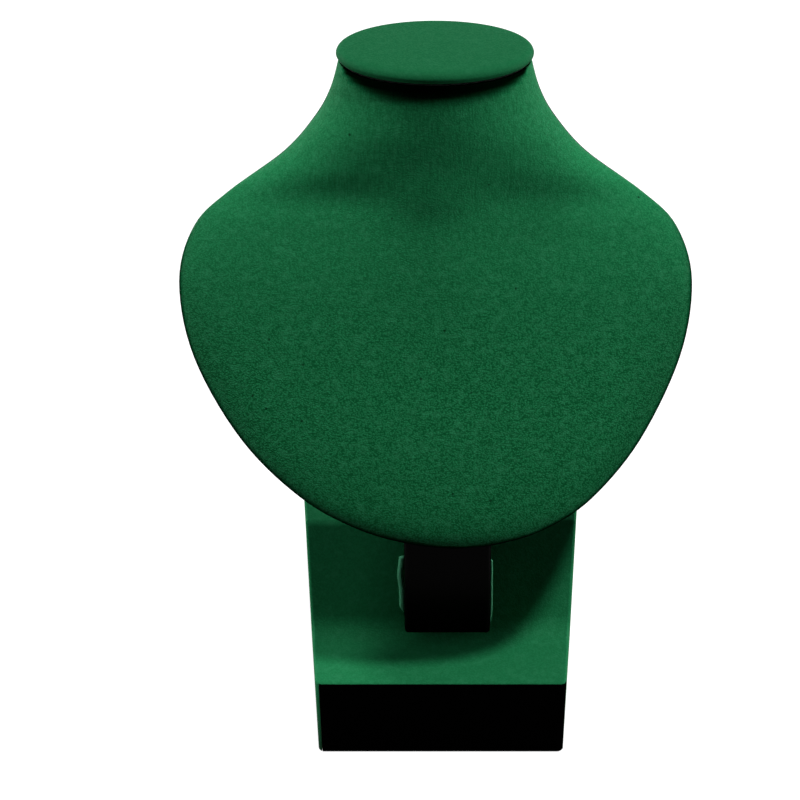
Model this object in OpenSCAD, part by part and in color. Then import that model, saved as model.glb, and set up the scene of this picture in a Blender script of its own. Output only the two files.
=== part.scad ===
// Necklace stand: a leatherette bust on a black post, standing on a stepped base.
// Origin: centre of the base's footprint, on the table. The front faces -Y.

/* [Base] */
// Width of the base along its front edge
base_front_w = 110; // [96:1:125]
// Width of the base along its back edge
base_back_w = 130; // [110:1:150]
// Depth of the base, front to back
base_d = 86; // [78:1:110]
// Height of the low front step
step_h = 41; // [25:1:60]
// Depth of the low front step
step_d = 34; // [30:1:48]
// Height of the upright above the step
upright_rise = 48.5; // [40:0.5:60]
// Backward lean of the upright's front, in degrees
riser_lean = 22; // [0:1:24]
// Radius of the base's standing corners
corner_r = 3; // [1.5:0.5:8]
// Radius of the base's long top edges
edge_r = 2; // [1.5:0.5:3]
// Radius of the soft crease at the foot of the upright
crease_r = 8; // [1:0.5:12]
// Thickness of the felt under the base
felt_t = 0.8; // [0.5:0.1:3]
// Distance from the base's edge to the felt's edge
felt_inset = 1.5; // [1:0.5:6]

/* [Front board] */
// Thickness of the black front board
board_t = 2.5; // [1.5:0.5:6]
// Leatherette left showing at the left end of the front board
board_end_margin = 1.6; // [1.2:0.2:12]
// Leatherette left showing above the front board
board_top_margin = 1.1; // [1:0.1:8]

/* [Post] */
// Width of the post
post_w = 38.5; // [24:0.5:50]
// Thickness of the post, front to back
post_t = 24; // [10:0.5:26]
// Radius of the post's standing edges
post_edge_r = 1.8; // [0.8:0.1:4]
// How far the post stands forward of the upright
post_proud = 1.4; // [1:0.2:6]
// Sideways place of the post from the base's centre
post_shift = 3; // [-6:0.5:6]
// Distance from the neck's top edge down to the post's top
post_drop = 52; // [40:1:60]

/* [Bust] */
// Height of the neck's top edge above the table
neck_top_z = 303.5; // [280:0.5:330]
// Place of the neck's centre behind the base's centre
neck_y = 9; // [4:0.5:14]
// Sideways place of the neck's centre from the base's centre
neck_shift = -2.2; // [-6:0.1:6]
// Width of the neck at its top edge
neck_w = 73; // [60:1:84]
// Depth of the neck at its top edge
neck_d = 52; // [46:1:60]
// Tilt of the neck's top edge towards the front, in degrees
neck_tilt = 6; // [0:1:16]
// Width across the shoulders
chest_w = 202; // [170:1:230]
// Height from the lowest point of the chest to the neck's top edge
bust_rise = 184; // [165:0.5:195]
// How far the lowest point of the chest reaches in front of the neck's centre
bust_reach = 60; // [50:1:75]
// Lean of the chest from upright, in degrees
chest_lean = 21; // [12:1:30]
// Bulge of the chest in front of its rim
chest_bulge = 13.5; // [10:0.5:20]
// Depth of the chest behind its rim
chest_back = 9; // [6:0.5:14]
// Sideways place of the chest's lowest point from the neck's centre
tip_shift = 8; // [-10:0.5:10]

/* [Cap] */
// Thickness of the padded cap
cap_t = 5.2; // [3.5:0.1:8]
// Overhang of the cap past the neck's edge
cap_overhang = 0.8; // [0.3:0.1:4]
// How far the cap sits forward on the neck
cap_lead = 1.6; // [0:0.1:2.2]
// Height of the collar under the cap
collar_h = 0.8; // [0.5:0.1:4]
// Distance from the neck's edge to the collar's edge
collar_inset = 2.5; // [1.5:0.1:6]

/* [Wraps and fixings] */
// Thickness of the leatherette and of the lining
wrap_t = 1; // [0.6:0.1:1.4]
// Gap between the post and its housings, on each side
post_clear = 0.25; // [0.15:0.05:0.6]
// Gap round the front board
board_clear = 0.2; // [0.1:0.05:0.5]
// Diameter of the screws' shanks
screw_d = 4; // [3:0.1:5]
// Diameter of the screws' heads
screw_head_d = 8; // [6:0.1:9]
// Length of the screws
screw_len = 58; // [52:1:64]
// Distance between the two screws in the post
post_screw_pitch = 20; // [14:1:24]
// Distance between the two screws in the upright
upright_screw_pitch = 88; // [70:1:94]

/* [Hidden] */
$fn = 48;
green = [0.05, 0.30, 0.19];
black = [0.03, 0.03, 0.03];
board_brown = [0.55, 0.42, 0.30];
steel = [0.70, 0.70, 0.72];
cut_through = 1;

// Places along the base
front_y = -base_d / 2;
back_y = base_d / 2;
riser_y = front_y + step_d;
base_top_z = step_h + upright_rise;
corner_steps = 6;

// Screws
screw_clear = 0.25;
pilot_clear = 0.05;
screw_point_l = 5;

// Post
post_front_y = riser_y - post_proud;
post_back_y = post_front_y + post_t;
post_mid_y = (post_front_y + post_back_y) / 2;
upright_screw_y = (post_back_y + back_y) / 2;

// Front board
board_end_x = board_end_margin - base_front_w / 2;
board_h = step_h - board_top_margin - felt_t;

// Half the base's width at a distance y from its centre
function half_w(y) =
    let (share = (y - front_y) / base_d)
    (base_front_w + (base_back_w - base_front_w) * share) / 2;

function unit(v) = v / norm(v);

// A closed outline with each corner rounded by its own radius: points are [x, y, radius]
function rounded(points) =
    let (n = len(points))
    [for (i = [0 : n - 1])
        let (p = [points[i][0], points[i][1]],
             before = [points[(i + n - 1) % n][0], points[(i + n - 1) % n][1]],
             after = [points[(i + 1) % n][0], points[(i + 1) % n][1]],
             a = unit(before - p),
             b = unit(after - p),
             half = acos(a * b) / 2,
             r = points[i][2],
             reach = r / tan(half),
             middle = p + unit(a + b) * r / sin(half),
             start = p + a * reach - middle,
             turn = sign(a[0] * b[1] - a[1] * b[0]) * (2 * half - 180))
        for (k = [0 : r > 0 ? corner_steps : 0])
            r > 0
                ? middle + rotated(start, turn * k / corner_steps)
                : p];

function rotated(v, angle) =
    [v[0] * cos(angle) - v[1] * sin(angle), v[0] * sin(angle) + v[1] * cos(angle)];

// Place of the upright's front at a height z, drawn in by an inset
function riser_at(z, inset) = riser_y + (z - step_h) * tan(riser_lean) + inset / cos(riser_lean);

// Plan of the base between two depths, drawn in by an inset on every side
module base_plan(y0, y1, inset, r) {
    polygon(rounded([
        [-half_w(y0) + inset, y0 + inset, r],
        [half_w(y0) - inset, y0 + inset, r],
        [half_w(y1) - inset, y1 - inset, r],
        [-half_w(y1) + inset, y1 - inset, r]]));
}

// Side view of the stepped base, drawn in by an inset and run across its full width
module stepped_profile(inset, outer_r, inner_r) {
    rotate([90, 0, 90])
        linear_extrude(height = base_back_w + 2 * base_front_w, center = true)
            polygon(rounded([
                [front_y + inset, felt_t, 0],
                [back_y - inset, felt_t, 0],
                [back_y - inset, base_top_z - inset, outer_r],
                [riser_at(base_top_z - inset, inset), base_top_z - inset, outer_r],
                [riser_at(step_h - inset, inset), step_h - inset, inner_r],
                [front_y + inset, step_h - inset, outer_r]]));
}

// The whole base as one stepped solid, rounded in plan and in side view
module base_solid(inset, plan_r, outer_r, inner_r) {
    intersection() {
        stepped_profile(inset, outer_r, inner_r);
        translate([0, 0, felt_t])
            linear_extrude(height = base_top_z)
                base_plan(front_y, back_y, inset, plan_r);
    }
}

// Room for the front board, open at the right end, with a gap at the left end and the top
module board_pocket(gap) {
    translate([board_end_x - gap, front_y - cut_through, felt_t - cut_through])
        cube([base_back_w, board_t + cut_through, board_h + cut_through + gap]);
}

// Section of the post, with a gap all round
module post_section(gap) {
    translate([post_shift, 0])
        polygon(rounded([
            [-post_w / 2 - gap, post_front_y - gap, post_edge_r],
            [post_w / 2 + gap, post_front_y - gap, post_edge_r],
            [post_w / 2 + gap, post_back_y + gap, post_edge_r],
            [-post_w / 2 - gap, post_back_y + gap, post_edge_r]]));
}

// Room for the post above the step, open at the upright's front and top
module post_housing() {
    translate([0, 0, step_h])
        linear_extrude(height = upright_rise + cut_through)
            post_section(post_clear);
}

// Centres of the four screws
function screw_places() = [
    [-upright_screw_pitch / 2, upright_screw_y],
    [upright_screw_pitch / 2, upright_screw_y],
    [post_shift - post_screw_pitch / 2, post_mid_y],
    [post_shift + post_screw_pitch / 2, post_mid_y]];

// A countersunk screw standing on its head, or the hole for it where gap is over 0
module screw(gap) {
    r = screw_d / 2 + gap;
    head_r = screw_head_d / 2 + gap;
    rotate_extrude()
        polygon([
            [0, 0],
            [head_r, 0],
            [r, head_r - r],
            [r, screw_len - screw_point_l],
            [0, screw_len]]);
}

module at_screws() {
    for (place = screw_places())
        translate([place[0], place[1], felt_t])
            children();
}

// Bust stations from the neck's top edge down to the lowest point of the chest. Each is
// [height share, reach share, half width, lean, front depth, back depth, neck ridge, fullness].
ridge_w = 0.38 * neck_w;
ridge_h = 0.1 * neck_d;
tip_w = 0.025 * chest_w;
flare = (chest_w - neck_w) / 2;
slim = neck_w / 2;
wide = chest_w / 2;
deep = neck_d / 2;
stations = [
    [1.000, 0.000, slim, -neck_tilt, deep, deep, 0, 1],
    [0.932, 0.008, slim + 0.06 * flare, -neck_tilt / 2, deep, deep, 0, 1],
    [0.873, 0.017, slim + 0.16 * flare, 0, deep, deep, 0, 1],
    [0.800, 0.042, slim + 0.355 * flare, chest_lean * 0.2, deep * 0.85, deep, ridge_h * 0.55, 0.95],
    [0.724, 0.117, slim + 0.69 * flare, chest_lean * 0.57, deep * 0.56, deep * 0.92, ridge_h * 1.45, 0.9],
    [0.659, 0.217, slim + 0.9 * flare, chest_lean * 0.86, chest_bulge * 0.96, deep * 0.77, ridge_h * 0.9, 0.8],
    [0.550, 0.358, wide, chest_lean, chest_bulge, chest_back * 1.45, ridge_h * 0.3, 0.75],
    [0.397, 0.533, wide * 0.955, chest_lean, chest_bulge, chest_back, 0, 0.7],
    [0.227, 0.733, wide * 0.79, chest_lean, chest_bulge * 0.95, chest_back * 0.8, 0, 0.7],
    [0.106, 0.875, wide * 0.58, chest_lean, chest_bulge * 0.8, chest_back * 0.65, 0, 0.7],
    [0.042, 0.952, wide * 0.38, chest_lean, chest_bulge * 0.6, chest_back * 0.45, 0, 0.75],
    [0.010, 0.988, wide * 0.19, chest_lean, chest_bulge * 0.35, chest_back * 0.25, 0, 0.85],
    [0.000, 1.000, tip_w / 2, chest_lean, tip_w * 0.32, tip_w * 0.32, 0, 1]];
steps_per_station = 3;
ring_count = (len(stations) - 1) * steps_per_station + 1;
front_steps = 30;
back_steps = 16;
shift_power = 5;
lift_power = 8;

// Smooth curve through four neighbouring values
function through(a, b, c, d, t) =
    b + 0.5 * t * (c - a + t * (2 * a - 5 * b + 4 * c - d + t * (3 * (b - c) + d - a)));

// Station values at any place along the bust
function station_at(ring) =
    let (last = len(stations) - 1,
         place = ring / steps_per_station,
         i = min(floor(place), last - 1))
    through(stations[max(i - 1, 0)], stations[i], stations[i + 1], stations[min(i + 2, last)], place - i);

// One point of a section: side is 1 for the front and -1 for the back, skin draws it in
function section_point(ring, angle, side, skin) =
    let (s = station_at(ring),
         share = 1 - s[0],
         w = s[2] - skin,
         depth = (side > 0 ? s[4] : s[5]) - skin,
         x = w * cos(angle),
         ridge = side > 0 ? s[6] * exp(-pow(x / ridge_w, 2)) * sin(angle) : 0,
         out = side * (depth * pow(sin(angle), s[7]) + ridge),
         lift = skin * pow(share, lift_power))
    [x + neck_shift + tip_shift * pow(share, shift_power),
     neck_y - bust_reach * s[1] - out * cos(s[3]) + lift * sin(s[3]),
     neck_top_z - bust_rise * share + out * sin(s[3]) + lift * cos(s[3])];

// Front and back edges of one section, both from the right rim to the left rim
function front_arc(ring, skin) =
    [for (k = [0 : front_steps]) section_point(ring, 180 * k / front_steps, 1, skin)];
function back_arc(ring, skin) =
    [for (k = [0 : back_steps]) section_point(ring, 180 * k / back_steps, -1, skin)];

// Solid through a stack of closed sections with equal numbers of points
module loft(sections) {
    n = len(sections[0]);
    m = len(sections);
    points = [for (s = sections) each s];
    sides = [for (i = [0 : m - 2], k = [0 : n - 1])
        let (a = i * n + k, b = i * n + (k + 1) % n, c = a + n, d = b + n)
        each [[a, d, c], [a, b, d]]];
    first = [[for (k = [n - 1 : -1 : 0]) k]];
    last = [[for (k = [0 : n - 1]) (m - 1) * n + k]];
    polyhedron(points, concat(sides, first, last), convexity = 6);
}

// Sheet between an outer and an inner grid of points, closed along its four edges
module sheet(outer, inner) {
    m = len(outer);
    n = len(outer[0]);
    far = m * n;
    points = concat([for (r = outer) each r], [for (r = inner) each r]);
    quads = [for (i = [0 : m - 2], k = [0 : n - 2])
        let (a = i * n + k, b = a + 1, c = a + n, d = b + n)
        each [[a, d, c], [a, b, d], [far + a, far + c, far + d], [far + a, far + d, far + b]]];
    ends = [for (k = [0 : n - 2])
        let (a = k, b = k + 1, c = (m - 1) * n + k, d = c + 1)
        each [[a, far + a, far + b], [a, far + b, b], [c, far + d, far + c], [c, d, far + d]]];
    rims = [for (i = [0 : m - 2])
        let (a = i * n, b = a + n, c = a + n - 1, d = c + n)
        each [[a, b, far + b], [a, far + b, far + a], [c, far + d, d], [c, far + c, far + d]]];
    polyhedron(points, concat(quads, ends, rims), convexity = 6);
}

function reversed(list) = [for (k = [len(list) - 1 : -1 : 0]) list[k]];

post_top_z = neck_top_z - post_drop;

// Room for the post in the bust
module post_socket() {
    translate([0, 0, base_top_z])
        linear_extrude(height = post_top_z + post_clear - base_top_z)
            post_section(post_clear);
}

// Oval of the neck's size, drawn in by an inset
function oval(inset, z) =
    [for (k = [0 : front_steps * 2 - 1])
        let (angle = 180 * k / front_steps)
        [(neck_w / 2 - inset) * cos(angle), (deep - inset) * sin(angle), z]];

// Places a piece on the neck's tipped top edge
module on_neck(height) {
    translate([neck_shift, neck_y, neck_top_z])
        rotate([neck_tilt, 0, 0])
            translate([0, 0, height])
                children();
}

// Leatherette over the base: top, sides and back, with a window for the front board
module base_wrap() {
    color(green)
        difference() {
            base_solid(0, corner_r, edge_r, crease_r);
            base_solid(wrap_t, corner_r - wrap_t, 0, 0);
            board_pocket(board_clear);
            post_housing();
        }
}

// Block under the step and the upright
module plinth_block() {
    color(board_brown)
        difference() {
            translate([0, 0, felt_t])
                linear_extrude(height = step_h - wrap_t - felt_t)
                    base_plan(front_y, back_y, wrap_t, corner_r - wrap_t);
            board_pocket(board_clear);
            at_screws()
                screw(screw_clear);
        }
}

// Block behind the step, cut out round the post
module upright_block() {
    low = step_h - wrap_t;
    high = base_top_z - wrap_t;
    color(board_brown)
        difference() {
            intersection() {
                translate([0, 0, low])
                    linear_extrude(height = high - low)
                        base_plan(front_y, back_y, wrap_t, corner_r - wrap_t);
                rotate([90, 0, 90])
                    linear_extrude(height = 2 * base_back_w, center = true)
                        polygon([
                            [riser_at(low - cut_through, wrap_t), low - cut_through],
                            [base_d, low - cut_through],
                            [base_d, high + cut_through],
                            [riser_at(high + cut_through, wrap_t), high + cut_through]]);
            }
            post_housing();
            at_screws()
                screw(pilot_clear);
        }
}

// Black board across the front of the step, from the left margin round the right corner
module front_board() {
    color(black)
        translate([0, 0, felt_t])
            linear_extrude(height = board_h)
                intersection() {
                    base_plan(front_y, back_y, 0, corner_r);
                    translate([board_end_x, front_y])
                        square([base_back_w, board_t - board_clear]);
                }
}

// Felt under the base
module base_felt() {
    color(black)
        linear_extrude(height = felt_t)
            base_plan(front_y, back_y, felt_inset, corner_r);
}

// Four screws from below
module base_screws() {
    color(steel)
        at_screws()
            screw(0);
}

// Black post, drilled from below for its screws
module post() {
    color(black)
        difference() {
            translate([0, 0, step_h])
                linear_extrude(height = post_top_z - step_h)
                    post_section(0);
            at_screws()
                screw(pilot_clear);
        }
}

// Moulded form of the bust, lofted from the neck to the chest
module bust_form() {
    color(black)
        difference() {
            loft([for (i = [0 : ring_count - 1])
                concat(front_arc(i, wrap_t),
                       [for (k = [back_steps - 1 : -1 : 1]) back_arc(i, wrap_t)[k]])]);
            post_socket();
        }
}

// Leatherette over the front of the bust
module bust_wrap() {
    color(green)
        sheet([for (i = [0 : ring_count - 1]) front_arc(i, 0)],
              [for (i = [0 : ring_count - 1]) front_arc(i, wrap_t)]);
}

// Black lining over the back of the bust
module back_lining() {
    color(black)
        difference() {
            sheet([for (i = [0 : ring_count - 1]) reversed(back_arc(i, 0))],
                  [for (i = [0 : ring_count - 1]) reversed(back_arc(i, wrap_t))]);
            post_socket();
        }
}

// Black spacer under the cap
module neck_collar() {
    color(black)
        on_neck(0)
            linear_extrude(height = collar_h)
                polygon([for (p = oval(collar_inset, 0)) [p[0], p[1]]]);
}

// Padded oval cap with a full round edge. Each ring is [height, inset from the edge], both as
// shares of the thickness.
cap_rings = [[0, 0.62], [0.08, 0.36], [0.2, 0.16], [0.36, 0.03], [0.5, 0], [0.64, 0.04], [0.78, 0.13],
             [0.89, 0.27], [0.965, 0.45], [1, 0.75]];

module neck_cap() {
    color(green)
        on_neck(collar_h)
            translate([0, -cap_lead, 0])
                loft([for (ring = cap_rings) oval(ring[1] * cap_t - cap_overhang, ring[0] * cap_t)]);
}

base_wrap();
plinth_block();
upright_block();
front_board();
base_felt();
base_screws();
post();
bust_form();
bust_wrap();
back_lining();
neck_collar();
neck_cap();
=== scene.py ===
# %% [markdown]
# # A necklace stand in green leatherette
# The stand is a bust with a flat padded cap on its neck. A black post carries it above a stepped base.
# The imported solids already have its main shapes. So this script dresses them: it makes the leatherette
# with its turned edges, the padded cap, the lining and the felt, and gives each surface a finish made of
# nodes. The scene is in metres and the stand's front faces -Y. Sizes of the stand are written in
# millimetres, and the places of the camera and the lamps and the flat sizes of the sheets in metres.

import math

import bmesh
import bpy
import numpy as np
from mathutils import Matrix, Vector


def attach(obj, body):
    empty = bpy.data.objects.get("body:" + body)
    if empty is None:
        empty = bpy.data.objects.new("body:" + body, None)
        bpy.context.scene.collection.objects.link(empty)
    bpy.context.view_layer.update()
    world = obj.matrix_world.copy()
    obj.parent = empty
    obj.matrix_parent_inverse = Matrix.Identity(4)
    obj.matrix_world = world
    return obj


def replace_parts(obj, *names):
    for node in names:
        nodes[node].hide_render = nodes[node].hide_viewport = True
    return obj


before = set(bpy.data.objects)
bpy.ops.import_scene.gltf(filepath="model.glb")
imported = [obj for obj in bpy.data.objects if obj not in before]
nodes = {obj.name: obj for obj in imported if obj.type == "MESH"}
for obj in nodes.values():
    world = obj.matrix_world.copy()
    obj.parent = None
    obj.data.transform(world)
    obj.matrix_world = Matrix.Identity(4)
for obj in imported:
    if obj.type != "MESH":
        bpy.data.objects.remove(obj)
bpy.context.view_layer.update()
print("solids:", ", ".join(sorted(nodes)))

# %% [markdown]
# ## Sizes of the base and the post
# Cloth has to fit the blocks under it to a fraction of a millimetre. Sizes could be measured on the solids,
# but then they would have no names. So they are repeated here, under the names that the part's source gives
# them. They come first, because the bust's lining, the base's cover and the board all use them.

# %% Sizes of the base and the post
MM = 0.001
base_front_w, base_back_w, base_d = 110, 130, 86
step_h, step_d, upright_rise, riser_lean = 41, 34, 48.5, 22
corner_r, edge_r, crease_r = 3, 2, 8
felt_t, wrap_t = 0.8, 1
post_w, post_t, post_edge_r, post_proud, post_shift = 38.5, 24, 1.8, 1.4, 3
post_drop, post_clear = 52, 0.25
front_y, back_y = -base_d / 2, base_d / 2
riser_y = front_y + step_d
base_top_z = step_h + upright_rise
post_front_y = riser_y - post_proud
post_back_y = post_front_y + post_t
print("base top at", base_top_z, "mm, post from", post_front_y, "to", post_back_y, "mm")

# %% [markdown]
# ## Camera
# The upright lines of the photograph meet far below it, which puts the camera 30 degrees above the horizon
# and about 0.7 m away. The camera could be turned to bring the stand to its place in the picture, but that
# would tilt the upright lines. A shifted lens moves the picture and keeps them. The Standard view shows
# each colour as it is written.

# %% Camera
def put_in_scene(name, data):
    made = bpy.data.objects.new(name, data)
    bpy.context.scene.collection.objects.link(made)
    return made


above_horizon = 30
camera_data = bpy.data.cameras.new("camera")
camera_data.lens, camera_data.sensor_width, camera_data.shift_x = 65.52, 36, -0.051
camera_data.clip_start = 0.01
camera = put_in_scene("camera", camera_data)
camera.location = (0, -0.5329, 0.467)
camera.rotation_euler = (math.radians(90 - above_horizon), 0, 0)
bpy.context.scene.camera = camera
bpy.context.scene.view_settings.view_transform = "Standard"
print("camera at", [round(c, 3) for c in camera.location])

# %% [markdown]
# ## Writing shaders as sums
# A finish mixes many textures, and wiring each node by hand hides what is meant. So a Wire wraps one
# socket: adding or multiplying two wires adds the Math nodes. A Tree makes every other node by a single
# method, from the node's type, its settings and the values or wires of its sockets.

# %% A wire
class Wire:
    """A socket that takes part in arithmetic."""

    def __init__(self, tree, socket):
        self.tree, self.socket = tree, socket

    def maths(self, operation, *values):
        return self.tree.node("ShaderNodeMath", {"operation": operation}, dict(enumerate(values)))

    def __add__(self, other):
        return self.maths("ADD", self, other)

    def __sub__(self, other):
        return self.maths("SUBTRACT", self, other)

    def __rsub__(self, other):
        return self.maths("SUBTRACT", other, self)

    def __mul__(self, other):
        return self.maths("MULTIPLY", self, other)

    __radd__, __rmul__ = __add__, __mul__

    def between(self, low, high):
        """0 below low, 1 above high and smooth between them."""
        return self.tree.node("ShaderNodeMapRange", {"interpolation_type": "SMOOTHSTEP"},
                              {0: self, 1: low, 2: high, 3: 0, 4: 1})


# %% A tree of nodes
class Tree:
    """The nodes of one material or of the room."""

    def __init__(self, owner):
        owner.use_nodes = True
        self.owner, self.nodes, self.links = owner, owner.node_tree.nodes, owner.node_tree.links

    def node(self, kind, settings, values, out=0):
        """A new node. Its settings come first, because they decide which sockets it has."""
        made = self.nodes.new(kind)
        for key, value in settings.items():
            setattr(made, key, value)
        for key, value in values.items():
            self.feed(made.inputs[key], value)
        return Wire(self, made.outputs[out])

    def feed(self, socket, value):
        """Links a wire to a socket, or sets the socket's own value. Colours are opaque."""
        if isinstance(value, Wire):
            self.links.new(value.socket, socket)
        else:
            socket.default_value = (*value, 1) if socket.type == "RGBA" else value

    def seen(self):
        """1 for rays from the camera, mirror-like surfaces and glass, and 0 for all others."""
        rays = self.node("ShaderNodeLightPath", {}, {}, "Is Camera Ray")
        for kind in ("Is Glossy Ray", "Is Transmission Ray"):
            rays = rays + self.node("ShaderNodeLightPath", {}, {}, kind)
        return rays.maths("MINIMUM", rays, 1)


# %% [markdown]
# ### Textures in millimetres
# The real finishes are known by the size of their pebbles, threads and fibres. So a Finish, which is the
# tree of one material, gives the place on the object in millimetres, and textures take their scale from it.
# A stretch below 1 along an axis draws the pattern out along it.

# %% A finish
class Finish(Tree):
    """One material, with textures that are measured in millimetres."""

    def __init__(self, name):
        super().__init__(bpy.data.materials.new(name))

    def place(self, *stretch):
        """Place on the object in millimetres, stretched along each axis."""
        here = self.node("ShaderNodeTexCoord", {}, {}, "Object")
        factors = Vector(stretch or (1, 1, 1)) / MM
        return self.node("ShaderNodeVectorMath", {"operation": "MULTIPLY"}, {0: here, 1: factors})

    def noise(self, where, scale, detail=2, roughness=0.5, out="Fac"):
        values = {"Vector": where, "Scale": scale, "Detail": detail, "Roughness": roughness}
        return self.node("ShaderNodeTexNoise", {}, values, out)

    def cells(self, where, scale):
        """Distance to the nearest of some scattered points."""
        return self.node("ShaderNodeTexVoronoi", {}, {"Vector": where, "Scale": scale}, "Distance")

    def bands(self, where, axis, scale, wobble):
        settings = {"wave_type": "BANDS", "bands_direction": axis}
        return self.node("ShaderNodeTexWave", settings,
                         {"Vector": where, "Scale": scale, "Distortion": wobble}, "Fac")

    def blend(self, share, a, b):
        """Colour that goes from a to b. Sockets 6 and 7 of the Mix node take its two colours."""
        return self.node("ShaderNodeMix", {"data_type": "RGBA"}, {0: share, 6: a, 7: b}, 2)

    def bump(self, height, strength, relief):
        """Bumps from a height, with a relief in millimetres."""
        values = {"Strength": strength, "Distance": relief * MM, "Height": height}
        return self.node("ShaderNodeBump", {}, values)

    def done(self, **values):
        """Sets the shader's sockets and hands over the material."""
        for key, value in values.items():
            self.feed(self.nodes["Principled BSDF"].inputs[key.replace("_", " ")], value)
        print("finish", self.owner.name, "has", len(self.nodes), "nodes")
        return self.owner


# %% [markdown]
# ## Leatherette
# Leatherette is cloth coated with soft plastic and pressed with a pebbled grain. An even noise would look
# like sand, so cells of about a millimetre make the pebbles, swayed a little so that no row shows. The
# valleys between them are darker and rougher than their tops. A slow noise varies the green, as handling
# does. The sheet on the bust is stretched: towards the neck its grain is pulled flat and drawn into upright
# threads, and a few pits dot it. An attribute, which later cells put on the meshes, holds painted shade: it
# darkens the green where a sheet turns over an edge, at the chest's sides, under the cap and beside the
# board.

# %% Pebbles, threads and pits
bust_pull, sway_by = (0.92, 1, 1.2), 0.9


def pebbles(f, here, grain):
    """Depth between the pebbles, from 0 on their tops to 1 in the valleys, and a fine noise over all."""
    swayed = f.node("ShaderNodeVectorMath", {"operation": "MULTIPLY_ADD"},
                    {0: f.noise(here, 0.6, 1, out="Color"), 1: (sway_by, sway_by, sway_by), 2: here})
    both = f.cells(swayed, 1 / grain) * 0.75 + f.cells(swayed, 2.3 / grain) * 0.35
    return both.between(0.28, 0.78), f.noise(here, 3.1, 3, 0.6)


def threads_and_pits(f, up, colour, valleys, dark):
    """Upright threads that grow with up, and a few dark pits."""
    drawn = f.noise(f.place(1, 1, 0.1), 1.5, 3, 0.65).between(0.42, 0.64)
    pits = 1 - f.cells(f.place(), 0.08).between(0.02, 0.06)
    return f.blend(pits * 0.75, f.blend(drawn * up * 0.34, colour, valleys), dark)


# %% Greens and the leatherette
top_green, valley_green = (0.0120, 0.156, 0.057), (0.0006, 0.048, 0.012)
# The near-black green is painted shade, and the bust's pits take it too.
worn_green, shade_and_pit_green = (0.0210, 0.178, 0.074), (0.0001, 0.004, 0.001)
stretched_z = 185, 275


def leatherette(name, grain, relief, contrast, level=1.0, on_bust=False, with_painted_shade=False, shine=0.02):
    """Pebbles of a grain and relief in millimetres. The level scales all four greens."""
    f = Finish(name)
    tops, valleys, worn, shade_and_pit_dark = (tuple(level * part for part in green)
                                   for green in (top_green, valley_green, worn_green, shade_and_pit_green))
    here = f.place(*(bust_pull if on_bust else ()))
    valley, fine = pebbles(f, here, grain)
    height, shade = (1 - valley) * 0.8 + fine * 0.35, valley * contrast
    if on_bust:
        up = f.node("ShaderNodeSeparateXYZ", {}, {0: f.place()}, "Z").between(*stretched_z)
        flat = 1 - up * 0.6
        threads = f.noise(f.place(1, 1, 0.18), 1.9, 2, 0.6)
        height, shade = height * flat + threads * 0.25, shade * flat
    colour = f.blend(shade, tops, valleys)
    colour = f.blend(f.noise(here, 0.35).between(0.45, 0.75) * 0.45, colour, worn)
    if on_bust:
        colour = threads_and_pits(f, up, colour, valleys, shade_and_pit_dark)
    # Painted shade: where the attribute is set, the green darkens towards near black.
    if with_painted_shade:
        painted_shade = f.node("ShaderNodeAttribute", {"attribute_name": "painted_shade"}, {}, "Fac")
        colour = f.blend(painted_shade, colour, shade_and_pit_dark)
    return f.done(Base_Color=colour, Roughness=valley * 0.16 + fine * 0.10 + 0.50,
                  Normal=f.bump(height, 0.5, relief), Specular_IOR_Level=shine)


# %% [markdown]
# ### Four cuts of one leatherette
# All of it comes from one roll, and still looks different where it is used. The bust's sheet is stretched
# over a curve, which opens its grain. The base's lies flat, and the cap's is pulled smooth over foam. The
# levels are painted light and shade: the bust's greens are raised to 1.14 and the cap's lowered to 0.66, to
# make up for how the lamps fall on them. The turned edge of the bust's sheet gets a copy with no shine at
# all, because a shiny edge mirrors the white room as a bright line, which the real one doesn't show. The
# lips' pale green is painted highlight.

# %% Four leatherettes and the lips' painted highlight
# The bust's level is painted light and the cap's level painted shade.
bust_look = {"grain": 0.74, "relief": 0.36, "contrast": 0.80, "level": 1.14, "on_bust": True, "with_painted_shade": True}
bust_leather = leatherette("green_leatherette_bust", **bust_look)
turned_leather = leatherette("green_leatherette_turned", shine=0.0, **bust_look)
base_leather = leatherette("green_leatherette_base", 0.95, 0.16, 0.25, with_painted_shade=True)
cap_leather = leatherette("green_leatherette_cap", 0.85, 0.10, 0.16, level=0.66)


# A pale green with a thread texture, which is painted highlight: it keeps the lips bright in the bust's
# shade.
def painted_highlight_finish():
    f = Finish("leatherette_backing")
    thread = f.noise(f.place(2.4, 2.4, 0.9), 1.6, 3, 0.6)
    return f.done(Base_Color=f.blend(thread, (0.06, 0.38, 0.19), (0.16, 0.60, 0.34)),
                  Roughness=thread * 0.2 + 0.7, Normal=f.bump(thread, 0.4, 0.15), Specular_IOR_Level=0.1)


lip_painted_highlight = painted_highlight_finish()

# %% [markdown]
# ## Lacquer and matt paint
# The post is lacquered wood, and the front board is painted matt. The collar gets the same matt black,
# which is painted shade for the gap under the cap. The photograph shows all three as nearly pure black.
# Plain black would look flat from other sides, so the lacquer keeps a faint upright grain and the paint
# keeps its stipple and brush marks, in blacks that differ very little.

# %% Lacquer and matt paint
def black_lacquer():
    f = Finish("black_lacquer")
    rings, dust = f.noise(f.place(1, 1, 0.06), 0.8, 4, 0.65), f.noise(f.place(), 2.4)
    return f.done(Base_Color=f.blend(rings, (0.0002, 0.0002, 0.0002), (0.0014, 0.0012, 0.0011)),
                  Roughness=dust.between(0.3, 0.8) * 0.10 + 0.28,
                  Normal=f.bump(rings + dust * 0.4, 0.12, 0.05), Specular_IOR_Level=0.012)


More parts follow.
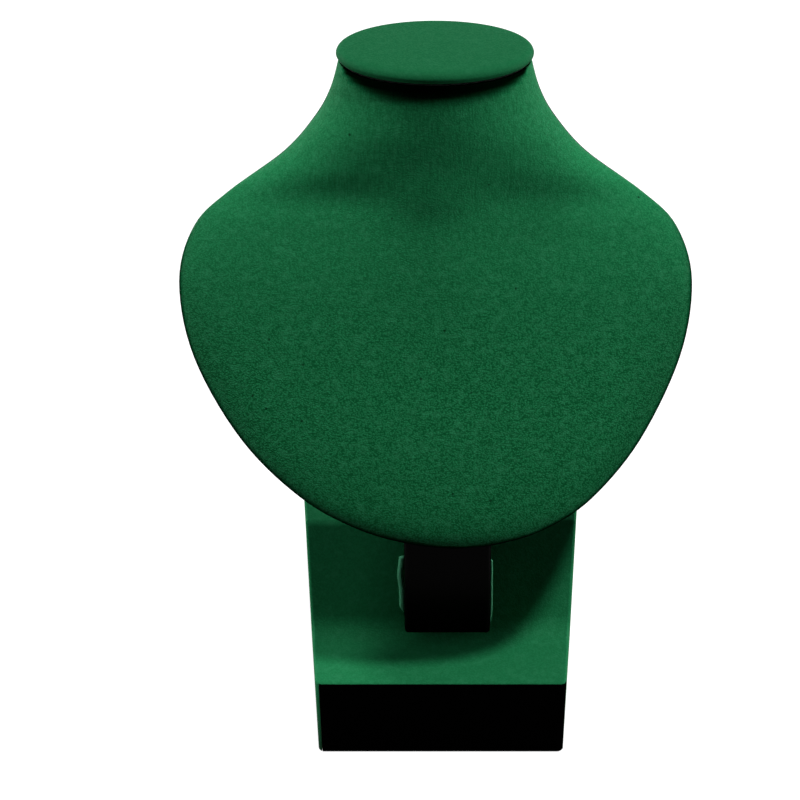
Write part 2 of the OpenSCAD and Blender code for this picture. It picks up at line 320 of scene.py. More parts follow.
def matt_paint():
    f = Finish("black_matt_paint")
    stipple, brush = f.noise(f.place(), 2.2, 3, 0.6), f.noise(f.place(0.05, 1, 1), 1.4, 3)
    return f.done(Base_Color=f.blend(stipple, (0.0002, 0.0002, 0.0002), (0.0012, 0.0012, 0.0012)),
                  Roughness=brush * 0.12 + 0.72,
                  Normal=f.bump(stipple + brush * 0.5, 0.25, 0.06), Specular_IOR_Level=0.0)


lacquer, paint = black_lacquer(), matt_paint()

# %% [markdown]
# ## Lining cloth and felt
# The lining is a plain black weave. Two sets of bands that cross, multiplied, make its threads, and a
# stretched noise makes some of them thicker. Felt has no weave: it is a mat of short fibres, for which a
# fine noise pulled along one axis is enough, with a slow one for its tufts.

# %% Lining cloth and felt
def lining_cloth():
    f = Finish("black_lining_cloth")
    threads = f.bands(f.place(), "X", 0.42, 0.4) * f.bands(f.place(), "Z", 0.42, 0.4)
    slub = f.noise(f.place(0.3, 0.3, 1.6), 0.9, 3)
    colour = f.blend(threads * 0.7 + slub * 0.3, (0.0025, 0.0025, 0.0027), (0.012, 0.012, 0.013))
    return f.done(Base_Color=colour, Roughness=slub * 0.08 + 0.84,
                  Normal=f.bump(threads + slub * 0.4, 0.5, 0.12), Specular_IOR_Level=0.15)


def felt_mat():
    f = Finish("black_felt")
    fibres, tufts = f.noise(f.place(1.6, 0.5, 1), 2.6, 4, 0.7), f.noise(f.place(), 0.7)
    return f.done(Base_Color=f.blend(fibres, (0.003, 0.003, 0.003), (0.020, 0.020, 0.021)),
                  Roughness=tufts * 0.05 + 0.92,
                  Normal=f.bump(fibres + tufts, 0.7, 0.2), Specular_IOR_Level=0.1)


lining, felt = lining_cloth(), felt_mat()

# %% [markdown]
# ## Hidden materials
# The blocks, the moulded form and the screws hardly show, but a view from below or into the post's socket
# meets them, and they are parts of the real stand. Fibreboard is felted wood dust with a few larger chips,
# the form is matt plastic, and the screws are zinc with fine turning marks.

# %% Fibreboard, moulded form and zinc
def fibreboard():
    f = Finish("fibreboard")
    dust, chips = f.noise(f.place(), 1.8, 4, 0.7), f.cells(f.place(), 0.9)
    return f.done(Base_Color=f.blend(dust * 0.7 + chips * 0.3, (0.25, 0.16, 0.09), (0.46, 0.33, 0.21)),
                  Roughness=dust * 0.1 + 0.8, Normal=f.bump(dust, 0.4, 0.1))


def moulded_plastic():
    f = Finish("moulded_form")
    skin = f.noise(f.place(), 1.2, 3)
    return f.done(Base_Color=f.blend(skin, (0.010, 0.010, 0.011), (0.022, 0.022, 0.023)),
                  Roughness=skin * 0.15 + 0.55, Normal=f.bump(skin, 0.3, 0.1))


def zinc_plate():
    f = Finish("zinc_plate")
    turning = f.noise(f.place(0.4, 0.4, 5), 2.0, 3)
    return f.done(Base_Color=f.blend(turning, (0.50, 0.50, 0.52), (0.68, 0.68, 0.69)), Metallic=1.0,
                  Roughness=turning * 0.2 + 0.28, Normal=f.bump(turning, 0.2, 0.03))


fibre, plastic, zinc = fibreboard(), moulded_plastic(), zinc_plate()

# %% [markdown]
# ## Making meshes
# Nearly every piece here is a stack of rings or a grid of points, so one helper turns points in millimetres
# into a mesh, and one closes a stack of rings with a face at both ends. Pieces could be modelled by hand
# from Blender's own solids, but rings that are worked out from the sizes follow them exactly.

# %% Points, rings and curves
def mesh_of(name, points, faces):
    mesh = bpy.data.meshes.new(name)
    mesh.from_pydata([tuple(p) for p in np.asarray(points) * MM], [], [tuple(f) for f in faces])
    return mesh


def closed_rings(rings):
    """Points and faces of a stack of rings with as many points each, closed at both ends."""
    n, count = len(rings[0]), len(rings)
    faces = [(i * n + k, i * n + (k + 1) % n, (i + 1) * n + (k + 1) % n, (i + 1) * n + k)
             for i in range(count - 1) for k in range(n)]
    faces += [tuple(range(n - 1, -1, -1)), tuple(range((count - 1) * n, count * n))]
    return np.concatenate(rings), faces


def on_curve(rows, place):
    """Row at a place between the given rows, on the smooth curve that runs through them all."""
    last = len(rows) - 1
    i = min(int(place), last - 1)
    a, b, c, d = (rows[max(0, min(last, i + k))] for k in (-1, 0, 1, 2))
    t = place - i
    return b + 0.5 * t * (c - a + t * (2 * a - 5 * b + 4 * c - d + t * (3 * (b - c) + d - a)))


# %% [markdown]
# ### Putting pieces in the scene
# Each piece rides on the part's body, and the solids that it stands for are hidden. Its shading is smooth
# but broken at real corners, so that flat faces stay flat. Holes are cut by Boolean modifiers, which are
# turned into plain mesh at once, because later steps read the finished points.

# %% Pieces
def finish_mesh(mesh, material, sharp):
    """Gives a mesh one finish. Its edges stay sharp from an angle in degrees."""
    mesh.materials.clear()
    mesh.materials.append(material)
    mesh.shade_smooth()
    mesh.set_sharp_from_angle(angle=math.radians(sharp))


def piece_of(name, mesh, material, sharp):
    """A piece of the stand, with doubled points joined and its faces turned outward."""
    shape = bmesh.new()
    shape.from_mesh(mesh)
    bmesh.ops.remove_doubles(shape, verts=shape.verts, dist=0.002 * MM)
    bmesh.ops.recalc_face_normals(shape, faces=shape.faces)
    shape.to_mesh(mesh)
    shape.free()
    finish_mesh(mesh, material, sharp)
    piece = put_in_scene(name, mesh)
    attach(piece, "root")
    print(name, "has", len(mesh.vertices), "points and", len(mesh.polygons), "faces")
    return piece


# %% Cuts
def keep_shape(piece):
    """Turns a piece's modifiers into its mesh."""
    bpy.context.view_layer.update()
    made = bpy.data.meshes.new_from_object(piece.evaluated_get(bpy.context.evaluated_depsgraph_get()))
    piece.modifiers.clear()
    old, piece.data = piece.data, made
    bpy.data.meshes.remove(old)


def cut(piece, cutter):
    """Takes the cutter's space out of a piece, and then removes the cutter."""
    step = piece.modifiers.new("cut", "BOOLEAN")
    step.operation, step.solver, step.object = "DIFFERENCE", "EXACT", cutter
    keep_shape(piece)
    bpy.data.objects.remove(cutter)


# %% [markdown]
# ### Outlines with round corners
# The post's housing and socket, the board and the felt are all upright, with rounded corners when seen from
# above. Each could be a box with bevelled edges, but the felt needs the points of its outline, and the board
# needs one corner of the base's. So outlines are lists of corners with a radius each, and a prism over an
# outline serves as a cutter or as a board.

# %% Outlines and prisms
def rounded(corners, steps):
    """A closed outline of [x, y, radius] with each corner rounded."""
    outline = []
    for i, (x, y, r) in enumerate(corners):
        p = Vector((x, y))
        a = (Vector(corners[i - 1][:2]) - p).normalized()
        b = (Vector(corners[(i + 1) % len(corners)][:2]) - p).normalized()
        half = a.angle(b) / 2
        middle = p + (a + b).normalized() * (r / math.sin(half))
        start = p + a * (r / math.tan(half)) - middle
        turn = math.copysign(math.pi - 2 * half, -(a.x * b.y - a.y * b.x))
        for k in range(steps + 1):
            c, s = math.cos(turn * k / steps), math.sin(turn * k / steps)
            outline.append((middle.x + start.x * c - start.y * s, middle.y + start.x * s + start.y * c))
    return outline


def prism(name, outline, low, high):
    """An upright prism over an outline."""
    rings = [[(x, y, z) for x, y in outline] for z in (low, high)]
    return put_in_scene(name, mesh_of(name, *closed_rings(rings)))


def post_outline(gap):
    left, right = post_shift - post_w / 2 - gap, post_shift + post_w / 2 + gap
    near, far = post_front_y - gap, post_back_y + gap
    corners = ((left, near), (right, near), (right, far), (left, far))
    return rounded([(x, y, post_edge_r) for x, y in corners], 8)


# %% [markdown]
# ## The bust's curve
# A bust has no straight line to start from. It is lofted through a few stations between the neck and the
# lowest point of the chest. Each row holds the station's height, its reach to the front, half its width,
# its lean, its depths in front and behind, the rise of the neck's tendon line and how full the section is.
# A smooth curve runs through the rows. The solid bust was made from the same rows, so the cloth fits it.

# %% Sizes of the bust
neck_top_z, neck_y, neck_shift = 303.5, 9, -2.2
neck_w, neck_d, neck_tilt = 73, 52, 6
chest_w, bust_rise, bust_reach = 202, 184, 60
lean, bulge, chest_back, tip_shift = 21, 13.5, 9, 8
ridge_w, ridge_h, tip_w = 0.38 * neck_w, 0.1 * neck_d, 0.025 * chest_w
shift_power, lift_power = 5, 8
flare, wide = (chest_w - neck_w) / 2, chest_w / 2
half_neck, deep = neck_w / 2, neck_d / 2
print("bust is", chest_w, "mm wide and its neck", neck_w, "mm")

# %% Stations of the bust
stations = np.array([
    [1.000, 0.000, half_neck, -neck_tilt, deep, deep, 0, 1],
    [0.932, 0.008, half_neck + 0.06 * flare, -neck_tilt / 2, deep, deep, 0, 1],
    [0.873, 0.017, half_neck + 0.16 * flare, 0, deep, deep, 0, 1],
    [0.800, 0.042, half_neck + 0.355 * flare, lean * 0.2, deep * 0.85, deep, ridge_h * 0.55, 0.95],
    [0.724, 0.117, half_neck + 0.69 * flare, lean * 0.57, deep * 0.56, deep * 0.92, ridge_h * 1.45, 0.9],
    [0.659, 0.217, half_neck + 0.9 * flare, lean * 0.86, bulge * 0.96, deep * 0.77, ridge_h * 0.9, 0.8],
    [0.550, 0.358, wide, lean, bulge, chest_back * 1.45, ridge_h * 0.3, 0.75],
    [0.397, 0.533, wide * 0.955, lean, bulge, chest_back, 0, 0.7],
    [0.227, 0.733, wide * 0.79, lean, bulge * 0.95, chest_back * 0.8, 0, 0.7],
    [0.106, 0.875, wide * 0.58, lean, bulge * 0.8, chest_back * 0.65, 0, 0.7],
    [0.042, 0.952, wide * 0.38, lean, bulge * 0.6, chest_back * 0.45, 0, 0.75],
    [0.010, 0.988, wide * 0.19, lean, bulge * 0.35, chest_back * 0.25, 0, 0.85],
    [0.000, 1.000, tip_w / 2, lean, tip_w * 0.32, tip_w * 0.32, 0, 1]])
last_station = len(stations) - 1
print("the bust's curve runs through", len(stations), "stations")

# %% One section of the bust
def section(place, angles, skin):
    """Points of one section, a skin's depth inside the bust's surface.

    Angles from 0 to 180 degrees run over the front, and beyond them over the back.
    """
    height, reach, half, tilt, front_depth, back_depth, rise, fullness = on_curve(stations, place)
    down = 1 - height
    front = np.sin(angles) >= 0
    depth = np.where(front, front_depth, back_depth) - skin
    x = (half - skin) * np.cos(angles)
    ridge = np.where(front, rise * np.exp(-(x / ridge_w) ** 2) * np.sin(angles), 0)
    out = np.sign(np.sin(angles)) * depth * np.abs(np.sin(angles)) ** fullness + ridge
    lift, tilt = skin * down ** lift_power, math.radians(tilt)
    return np.column_stack([
        x + neck_shift + tip_shift * down ** shift_power,
        neck_y - bust_reach * reach - out * math.cos(tilt) + lift * math.sin(tilt),
        neck_top_z - bust_rise * down + out * math.sin(tilt) + lift * math.cos(tilt)])


# %% [markdown]
# ## Leatherette over the bust
# On the real stand the leatherette is stretched over the moulded form, turned over its rim and glued down
# behind. A simulated cloth would sag or crease where the real one is glued, so the sheet is built straight
# from the stations, as two grids a little less than a millimetre apart and joined along their edges. It
# runs some way round the rim, and its cut edge lies under the lining.

# %% A sheet between two grids
def sheet_mesh(outer, inner):
    """Points and faces of a sheet with thickness between two grids of points."""
    m, n = outer.shape[:2]
    points = np.concatenate([outer.reshape(-1, 3), inner.reshape(-1, 3)])
    far, faces = m * n, []
    for i in range(m - 1):
        for k in range(n - 1):
            a, b, c, d = i * n + k, i * n + k + 1, (i + 1) * n + k, (i + 1) * n + k + 1
            faces += [(a, b, d, c), (far + a, far + c, far + d, far + b)]
    for k in range(n - 1):
        for a in (k, (m - 1) * n + k):
            faces.append((a, far + a, far + a + 1, a + 1))
    for i in range(m - 1):
        for a in (i * n, i * n + n - 1):
            faces.append((a, a + n, far + a + n, far + a))
    return points, faces


# %% Grids over the bust
sheet_t = 0.9 * wrap_t


def rim_angles(first, last, count):
    """Angles in radians, closer together at the rim, where the section turns fastest."""
    t = np.linspace(0, 1, count)
    eased = t - 0.8 * np.sin(2 * np.pi * t) / (2 * np.pi)
    return np.radians(first + (last - first) * eased)


def bust_sheet(first, last, across, rows_between=7):
    """Outer and inner grid of a sheet that covers the bust from one angle to another."""
    places = np.linspace(0, last_station, last_station * rows_between + 1)
    angles = rim_angles(first, last, across)
    return [np.array([section(p, angles, skin) for p in places]) for skin in (0, sheet_t)]


# %% Leatherette over the bust
turned = 13
bust_mesh = mesh_of("bust_cover", *sheet_mesh(*bust_sheet(-turned, 180 + turned, 91)))
bust_cover = piece_of("bust_cover", bust_mesh, bust_leather, 50)
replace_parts(bust_cover, "bust_wrap")

# %% [markdown]
# ### Painted shade where the sheet turns and under the cap
# The photograph shows a dark line along the rim and a dark crescent under the cap. Both could be left to
# the lamps, but then they depend on them. So the shade is painted: each point of the mesh gets a value from
# 0 to 1 that the finish reads, and the green darkens with it. It grows where the sheet turns away from the
# chest's own direction, a little towards the sides of the chest, and fully under the cap, deepest in front.

# %% Reading points and painting shade on them
def smooth(values, low, high):
    t = np.clip((values - low) / (high - low), 0, 1)
    return t * t * (3 - 2 * t)


def vertex_values(cover, name):
    values = np.empty(len(cover.data.vertices) * 3)
    cover.data.vertices.foreach_get(name, values)
    return values.reshape(-1, 3)


def paint_shade(cover, painted_shade):
    cover.data.attributes.new("painted_shade", "FLOAT", "POINT").data.foreach_set("value", painted_shade)


# %% Painted shade at the rim
chest_ends_z, neck_starts_z = 215, 262
slight_turn, slight_dark = (0.84, 0.95), 0.16
full_turn, full_dark = (0.52, 0.88), 0.80


def rim_painted_shade(points, normals):
    """Painted shade that grows where the sheet turns away from the chest's direction, below the neck."""
    tilt = math.radians(lean)
    facing = normals @ np.array([0, -math.cos(tilt), math.sin(tilt)])
    edge = slight_dark * (1 - smooth(facing, *slight_turn)) + full_dark * (1 - smooth(facing, *full_turn))
    return edge * (1 - smooth(points[:, 2], chest_ends_z, neck_starts_z))


# %% Painted shade at the chest's sides
side_starts_z, side_ends_z = (122, 160), (205, 240)
side_from, side_dark = 0.74, 0.20
row_h, far_out = 2, 1e3


def side_painted_shade(points):
    """Painted shade that grows a little towards both ends of each row across the chest."""
    x, z = points[:, 0], points[:, 2]
    rows = np.round(z / row_h).astype(int)
    rows -= rows.min()
    left, right = np.full(rows.max() + 1, far_out), np.full(rows.max() + 1, -far_out)
    np.minimum.at(left, rows, x)
    np.maximum.at(right, rows, x)
    outward = np.abs(2 * x - left[rows] - right[rows]) / (right - left + 0.1)[rows]
    sideways = side_dark * smooth(outward, side_from, 1.0)
    return sideways * smooth(z, *side_starts_z) * (1 - smooth(z, *side_ends_z))


# %% Painted shadow under the cap
crescent_inner, crescent_outer, crescent_share = 3.4, 9.5, 0.94


def cap_painted_shadow(points):
    """Painted shadow of the cap: 1 in the crescent that the cap overhangs, which is deepest in front, and
    fading below it.
    """
    tilt = math.radians(neck_tilt)
    below = (points - [neck_shift, neck_y, neck_top_z]) @ np.array([0, math.sin(tilt), -math.cos(tilt)])
    across = (points[:, 0] - neck_shift) / (crescent_share * half_neck)
    front = np.sqrt(np.clip(1 - across ** 2, 0, 1)) * (points[:, 1] < neck_y)
    return np.where(front > 0, 1 - smooth(below, crescent_inner * front, crescent_outer * front + 0.3), 0)


# %% Painted shade and the turned faces of the bust's sheet
turned_from = 0.5
points, normals = vertex_values(bust_cover, "co") / MM, vertex_values(bust_cover, "normal")
painted_shade = np.maximum.reduce([rim_painted_shade(points, normals), side_painted_shade(points), cap_painted_shadow(points)])
# Faces with strong painted shade take the copy without shine.
paint_shade(bust_cover, painted_shade)
bust_cover.data.materials.append(turned_leather)
for face in bust_cover.data.polygons:
    face.material_index = int(max(painted_shade[k] for k in face.vertices) > turned_from)
print("turned faces:", sum(face.material_index for face in bust_cover.data.polygons))

# %% [markdown]
# ## Lining
# Black cloth covers the back of the form. It is another sheet over the same stations, from the back side.
# Its edge is folded in and lies over the turned leatherette, so the lining stops a little inside the rim,
# and the fold makes a low ridge along it. The post passes through a hole that has the socket's size.

# %% Lining over the back
lining_inset = 0.6 * turned
fold_rise, fold_share = 0.35, 0.05
outer, inner = bust_sheet(181 + lining_inset, 359 - lining_inset, 61)
from_edge = 1 - np.abs(np.linspace(-1, 1, outer.shape[1]))
fold = fold_rise * np.exp(-(from_edge / fold_share) ** 2)
outward = outer - inner
outward /= np.maximum(np.linalg.norm(outward, axis=2, keepdims=True), 1e-6)
lining_mesh = mesh_of("back_cloth", *sheet_mesh(outer + outward * fold[None, :, None], inner))
back_cloth = piece_of("back_cloth", lining_mesh, lining, 50)
socket_top_z = neck_top_z - post_drop + post_clear
cut(back_cloth, prism("socket_cutter", post_outline(post_clear), base_top_z, socket_top_z))
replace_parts(back_cloth, "back_lining")

# %% [markdown]
# ## Cap
# The cap is a thin oval board padded with foam and covered with the smooth leatherette. The foam makes it
# crown a little, and the cover pulls its edge round. The cover is so taut that a simulation would only
# return this shape, so rings follow a drawn profile of the edge. The cap tips forward with the neck's top.

# %% Padded cap
cap_t, cap_overhang, cap_lead, cap_crown, collar_h = 5.2, 0.8, 1.6, 0.45, 0.8
edge_profile = np.array([(0, 0.62), (0.08, 0.36), (0.2, 0.16), (0.36, 0.03), (0.5, 0), (0.64, 0.04),
                         (0.78, 0.13), (0.89, 0.27), (0.965, 0.45), (1, 0.75)])


def cap_ring(height, inset):
    """An oval at a height above the collar, drawn in by an inset."""
    angles = np.linspace(0, 2 * np.pi, 144, endpoint=False)
    tilt = math.radians(neck_tilt)
    x = (half_neck + cap_overhang - inset) * np.cos(angles)
    y = (deep + cap_overhang - inset) * np.sin(angles) - cap_lead
    z = collar_h + height
    return np.column_stack([neck_shift + x, neck_y + y * math.cos(tilt) - z * math.sin(tilt),
                            neck_top_z + y * math.sin(tilt) + z * math.cos(tilt)])


def cap_profile():
    """Rows of [height, inset], from the middle of the underside to the middle of the crowned top."""
    under = [(0, deep * 0.96), (0, deep * 0.5)]
    edge = [tuple(cap_t * on_curve(edge_profile, p)) for p in np.linspace(0, len(edge_profile) - 1, 37)]
    start = edge[-1][1]
    top = [(cap_t + cap_crown * (1 - (1 - s) ** 2), start + (deep - start) * s)
           for s in np.linspace(0.06, 0.98, 14)]
    return under + edge + top


cap_mesh = mesh_of("cap_pad", *closed_rings([cap_ring(*row) for row in cap_profile()]))
cap = piece_of("cap_pad", cap_mesh, cap_leather, 60)
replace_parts(cap, "neck_cap")

# %% [markdown]
# ## Leatherette over the base
# The base is two glued blocks covered as one. Covered edges are never sharp, and each has its own radius:
# the crease in front of the upright is the softest. A fillet on each edge in turn would fight at the
# corners. So the cover starts as a plain stepped box, and one Bevel modifier rounds all edges by weights.

# %% A stepped box
def half_w(y):
    """Half the base's width at a distance y from its centre."""
    share = (y - front_y) / base_d
    return (base_front_w + (base_back_w - base_front_w) * share) / 2


def riser_at(z, inset=0):
    """Place of the upright's front at a height z, drawn in by an inset."""
    tilt = math.radians(riser_lean)
    return riser_y + (z - step_h) * math.tan(tilt) + inset / math.cos(tilt)


def stepped_box(name, inset):
    """The base as a plain stepped box, drawn in by an inset."""
    near, far = front_y + inset, back_y - inset
    low, step, top = felt_t, step_h - inset, base_top_z - inset
    side = [(near, low), (near, step), (riser_at(step, inset), step), (riser_at(top, inset), top),
            (far, top), (far, low)]
    n = len(side)
    faces = [tuple(range(n)), tuple(range(2 * n - 1, n - 1, -1))]
    faces += [(k, n + k, n + (k + 1) % n, (k + 1) % n) for k in range(n)]
    return mesh_of(name, [(s * (half_w(y) - inset), y, z) for s in (-1, 1) for y, z in side], faces)


# %% Rounding its edges
riser_side_r, side_edge_r = 1.4, 1.3


def edge_radius(a, b):
    """Radius of the base's edge between two corners, in millimetres."""
    level, same_y = abs(a.z - b.z) < 0.01 * MM, abs(a.y - b.y) < 0.01 * MM
    if not level:
        return corner_r if same_y else riser_side_r
    if a.z < (felt_t + 0.1) * MM:
        return 0
    in_crease = abs(a.y / MM - riser_y) < 0.01 and abs(a.z / MM - step_h) < 0.01
    return (crease_r if in_crease else edge_r) if same_y else side_edge_r


def round_edges(mesh):
    """Gives each edge its radius, as a share of the largest one."""
    shape = bmesh.new()
    shape.from_mesh(mesh)
    bmesh.ops.recalc_face_normals(shape, faces=shape.faces)
    weight = shape.edges.layers.float.new("bevel_weight_edge")
    for edge in shape.edges:
        edge[weight] = edge_radius(*(v.co for v in edge.verts)) / crease_r
    shape.to_mesh(mesh)
    shape.free()


base_mesh = stepped_box("base_cover", 0)
round_edges(base_mesh)
base_cover = piece_of("base_cover", base_mesh, base_leather, 30)
bevel = base_cover.modifiers.new("soft edges", "BEVEL")
bevel.limit_method, bevel.width, bevel.segments = "WEIGHT", crease_r * MM, 8
bevel.use_clamp_overlap = False
keep_shape(base_cover)

# %% [markdown]
# ### Openings in the base's cover
# The cover is hollow, has a window for the front board that opens to the right, and lets the post in from
# above. All three are cut out by solids that reach a little beyond it. The cuts leave long thin faces, and
# their shading would show in the flat sides, so a Weighted Normal modifier lets the large faces decide. The
# strip of leatherette to the left of the board is nearly black in the photograph, so painted shade darkens
# it.

# %% Inside, window and housing
board_t, board_end_margin, board_top_margin, board_clear = 2.5, 1.6, 1.1, 0.2
board_end_x = board_end_margin - base_front_w / 2
board_h = step_h - board_top_margin - felt_t
beyond = 2
window = [(board_end_x - board_clear, front_y - beyond), (base_back_w, front_y - beyond),
          (base_back_w, front_y + board_t), (board_end_x - board_clear, front_y + board_t)]
cut(base_cover, put_in_scene("inside", stepped_box("inside", wrap_t)))
cut(base_cover, prism("window", window, felt_t - beyond / 2, felt_t + board_h + board_clear))
cut(base_cover, prism("housing", post_outline(post_clear), step_h, base_top_z + beyond))
flat_faces = base_cover.modifiers.new("flat faces", "WEIGHTED_NORMAL")
flat_faces.keep_sharp = True
keep_shape(base_cover)
print("base cover spans", [round(v / MM, 1) for v in base_cover.dimensions])

# %% Painted shade on the strip beside the board
strip_fades_y, strip_ends_y = front_y + 2.9, front_y + 4.5
x, y, z = (vertex_values(base_cover, "co") / MM).T
# Painted shade on the cover's front left of the board, fading towards the back.
strip_painted_shade = smooth(-y, -strip_ends_y, -strip_fades_y) * (x < 0) * (z < step_h - edge_r)
paint_shade(base_cover, 0.9 * strip_painted_shade)
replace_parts(base_cover, "base_wrap")
print("points beside the board:", int((strip_painted_shade > 0).sum()))

# %% [markdown]
# ## Lips beside the post
# Where the cover meets the post it was cut by hand and pressed against the wood, so it stands up in a thin
# lip on both sides. The lips' pale green is painted highlight, which keeps them bright in the bust's shade.
# They could be part of the cover, but a lip wanders as a knife does, which a stack of small rings does
# better. The left one is wider and leans away, and the right one is straight.

# %% Lips beside the post
lip_sunk = 0.05


def lip(name, side, wide_at, wander_at, low, high):
    """A thin rolled edge that climbs the upright beside the post."""
    edge = post_shift + side * (post_w / 2 + post_clear)
    angles = np.linspace(0, 2 * np.pi, 14, endpoint=False)
    rings = []
    for t in np.linspace(0, 1, 90):
        z, w = low + (high - low) * t, wide_at(t)
        x = edge + side * (wander_at(t) + w * (1 + np.cos(angles)) / 2)
        y = riser_at(z) - lip_sunk - (0.4 + 0.9 * w) * np.sin(angles) / 2
        rings.append(np.column_stack([x, y, np.full(len(angles), z)]))
    return piece_of(name, mesh_of(name, *closed_rings(rings)), lip_painted_highlight, 60)


def taper(t, rise):
    """Grows from nothing over the rise, and shrinks quickly at the top."""
    return min(1, t / rise) ** 0.6 * min(1, (1 - t) / 0.03 + 0.3)


def left_wander(t):
    """The left lip leans away from the post in its upper half and hooks back at its top."""
    return 0.02 + 0.95 * math.exp(-((t - 0.67) / 0.2) ** 2)


lip("left_lip", -1, lambda t: 2.4 * taper(t, 0.12), left_wander, step_h + 9.5, base_top_z - 14.5)
lip("right_lip", 1, lambda t: 1.1 * taper(t, 0.2), lambda t: 0, step_h + 5, base_top_z - 16)

# %% [markdown]
# ## Front board
# The black board fills the window in front. A plain box would stick out of the base's rounded corner at its
# right end, so its outline takes that corner from the base's own outline. Its edges are eased by a third of
# a millimetre, as sandpaper leaves them, so that they catch a little light.

# %% Front board
def base_outline(inset, steps):
    """The base seen from above, drawn in by an inset, from its front left corner round."""
    sides = ((-1, front_y, inset), (1, front_y, inset), (1, back_y, -inset), (-1, back_y, -inset))
    return rounded([(side * (half_w(y) - inset), y + inward, corner_r) for side, y, inward in sides], steps)


board_back, eased_by, corner_steps = front_y + board_t - board_clear, 0.35, 12
second_corner = base_outline(0, corner_steps)[corner_steps + 1:2 * (corner_steps + 1)]
right_end = [p for p in second_corner if p[1] < board_back]
board_outline = [(board_end_x, front_y)] + right_end
board_outline += [(right_end[-1][0], board_back), (board_end_x, board_back)]
board_block = prism("front_panel_block", board_outline, felt_t, felt_t + board_h)
board_mesh = board_block.data
shape = bmesh.new()
shape.from_mesh(board_mesh)
crisp = [e for e in shape.edges if e.calc_face_angle(0) > math.radians(40)]
bmesh.ops.bevel(shape, geom=crisp, offset=eased_by * MM, segments=3, profile=0.5, affect="EDGES")
shape.to_mesh(board_mesh)
shape.free()
bpy.data.objects.remove(board_block)
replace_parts(piece_of("front_panel", board_mesh, paint, 30), "front_board")

# %% [markdown]
# ## Felt
# The felt under the base keeps it from scratching the table. It lies a little inside the base's outline.
# Felt is cut with a knife and never has a clean edge, so each ring of its rounded edge is drawn in by a
# random share of its size. Each ring has its own seed, so that every run gives the same fuzz.

# %% Felt
felt_inset, felt_points, fuzz, first_seed = 1.5, 420, 0.004, 7
felt_edge = [(0.3, 0.0), (0.05, 0.15), (0, 0.4), (0.05, 0.65), (0.3, felt_t)]


def felt_ring(inset, z, seed):
    outline = np.array(base_outline(felt_inset + inset, 6))
    around = np.vstack([outline, outline[:1]])
    lengths = np.concatenate([[0], np.cumsum(np.linalg.norm(np.diff(around, axis=0), axis=1))])
    places = np.linspace(0, lengths[-1], felt_points, endpoint=False)
    ring = np.column_stack([np.interp(places, lengths, around[:, k]) for k in (0, 1)])
    centre, chance = ring.mean(0), np.random.default_rng(seed)
    ring = centre + (ring - centre) * (1 - fuzz * chance.random((felt_points, 1)))
    return np.column_stack([ring, np.full(felt_points, z)])


felt_rings = [felt_ring(inset, z, first_seed + k) for k, (inset, z) in enumerate(felt_edge)]
felt_pad = piece_of("felt_pad", mesh_of("felt_pad", *closed_rings(felt_rings)), felt, 60)
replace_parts(felt_pad, "base_felt")

# %% [markdown]
# ## Finishes on the solids that stay
# The post, the blocks, the form, the collar and the screws have their right shapes already, and making them
# again would only risk a mismatch. They get their finishes, and smooth shading where their faces are meant
# to be round.

# %% Finishes on the solids
# The collar's matt black is painted shade under the cap's edge.
for name, material in {"post": lacquer, "plinth_block": fibre, "upright_block": fibre, "bust_form": plastic,
                       "neck_collar": paint, "base_screws": zinc}.items():
    finish_mesh(nodes[name].data, material, 32)
    print(name, "gets", material.name)

# %% [markdown]
# ## Floor and room
# The floor is a plain pale sheet that runs past every edge of the picture. The camera, mirror-like surfaces
# and glass see it and the room as white, with the stand's soft shadow. For all other light the floor is a
# quiet grey and the room is dim, because the photograph's shadows are deep. More light on a pale floor
# would also give a white picture, but it would wash the greens out.

# %% Floor
quiet_grey, lit_grey, white, glow_strength = (0.04, 0.04, 0.04), (0.30, 0.30, 0.30), (1, 1, 1), 0.87


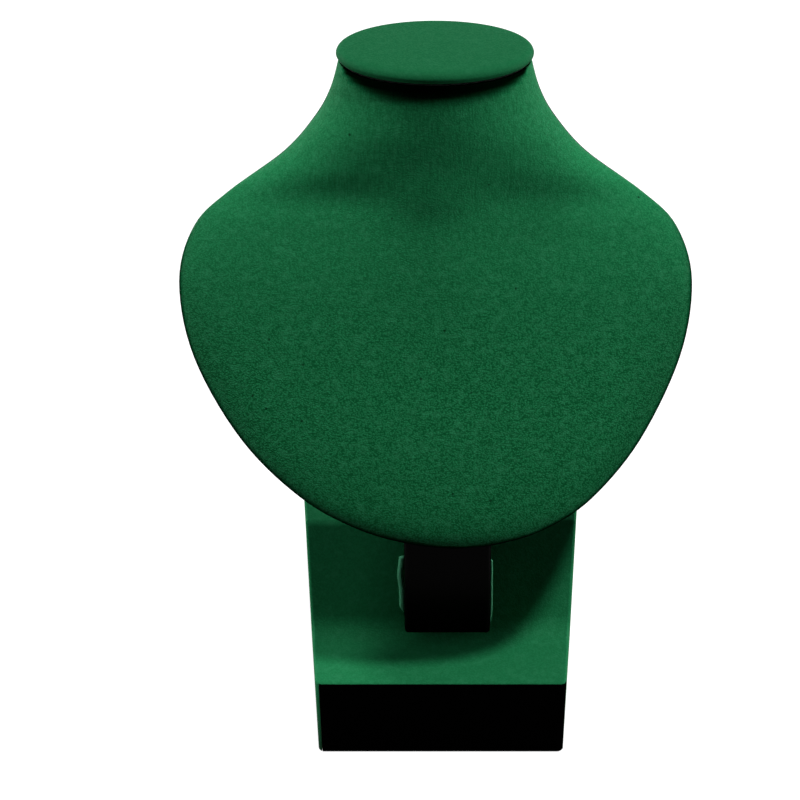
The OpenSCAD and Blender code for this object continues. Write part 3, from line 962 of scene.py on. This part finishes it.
def pale_floor():
    f = Finish("pale_floor")
    quiet = f.node("ShaderNodeBsdfDiffuse", {}, {"Color": quiet_grey})
    lit = f.node("ShaderNodeBsdfDiffuse", {}, {"Color": lit_grey})
    glow = f.node("ShaderNodeEmission", {}, {"Color": white, "Strength": glow_strength})
    shown = f.node("ShaderNodeAddShader", {}, {0: lit, 1: glow})
    mixed = f.node("ShaderNodeMixShader", {}, {0: f.seen(), 1: quiet, 2: shown})
    f.nodes.remove(f.nodes["Principled BSDF"])
    f.feed(f.nodes["Material Output"].inputs["Surface"], mixed)
    return f.owner


reach = 12 / MM
floor_points = [(-reach, -reach, 0), (reach, -reach, 0), (reach, reach, 0), (-reach, reach, 0)]
floor_mesh = mesh_of("floor", floor_points, [(0, 1, 2, 3)])
floor_mesh.materials.append(pale_floor())
put_in_scene("floor", floor_mesh)
print("floor reaches", round(reach * MM), "m to each side")

# %% Room
room_light = 0.01
room = Tree(bpy.data.worlds.new("room"))
bpy.context.scene.world = room.owner
background = room.nodes["Background"]
room.feed(background.inputs["Color"], white)
room.feed(background.inputs["Strength"], room.seen() * (1 - room_light) + room_light)
print("room light", room_light)

# %% [markdown]
# ## Lamps
# The lamps stand where the photograph's shading puts them. The key is overhead, to the right and a little
# in front, and its disk is five degrees wide, so the bust's shadow on the base is a few millimetres soft.
# Two weaker ones overhead fill it, and low lamps at both sides light the neck's flanks and the rim. Area
# lamps would be brighter near the cap than at the base, so all are far lamps, whose light is even. Each
# level is the share of its own colour that a surface facing the lamp shows.

# %% Lamps
def towards(azimuth, height):
    """Direction from the stand to a lamp: azimuth from the front, positive to the right, in degrees."""
    a, h = math.radians(azimuth), math.radians(height)
    return Vector((math.sin(a) * math.cos(h), -math.cos(a) * math.cos(h), math.sin(h)))


def lamp(name, azimuth, height, level, width):
    """A far lamp; width is its disk's angle in degrees."""
    light = bpy.data.lights.new(name, "SUN")
    light.energy = level * math.pi
    light.angle = math.radians(width)
    made = put_in_scene(name, light)
    direction = towards(azimuth, height)
    made.location = direction * 2
    made.rotation_euler = direction.to_track_quat("Z", "Y").to_euler()
    print(name, "azimuth", azimuth, "height", height, "level", level)


lamp("key_lamp", 45, 67, 0.77, 5)
lamp("left_top_lamp", -92, 67, 0.46, 8)
lamp("front_top_lamp", 13, 64, 0.11, 10)
lamp("left_side_lamp", -96, 1, 0.80, 14)
lamp("left_rim_lamp", -134, 5, 0.22, 14)
lamp("right_side_lamp", 90, 1, 0.92, 14)
lamp("right_rim_lamp", 124, 3, 0.22, 14)
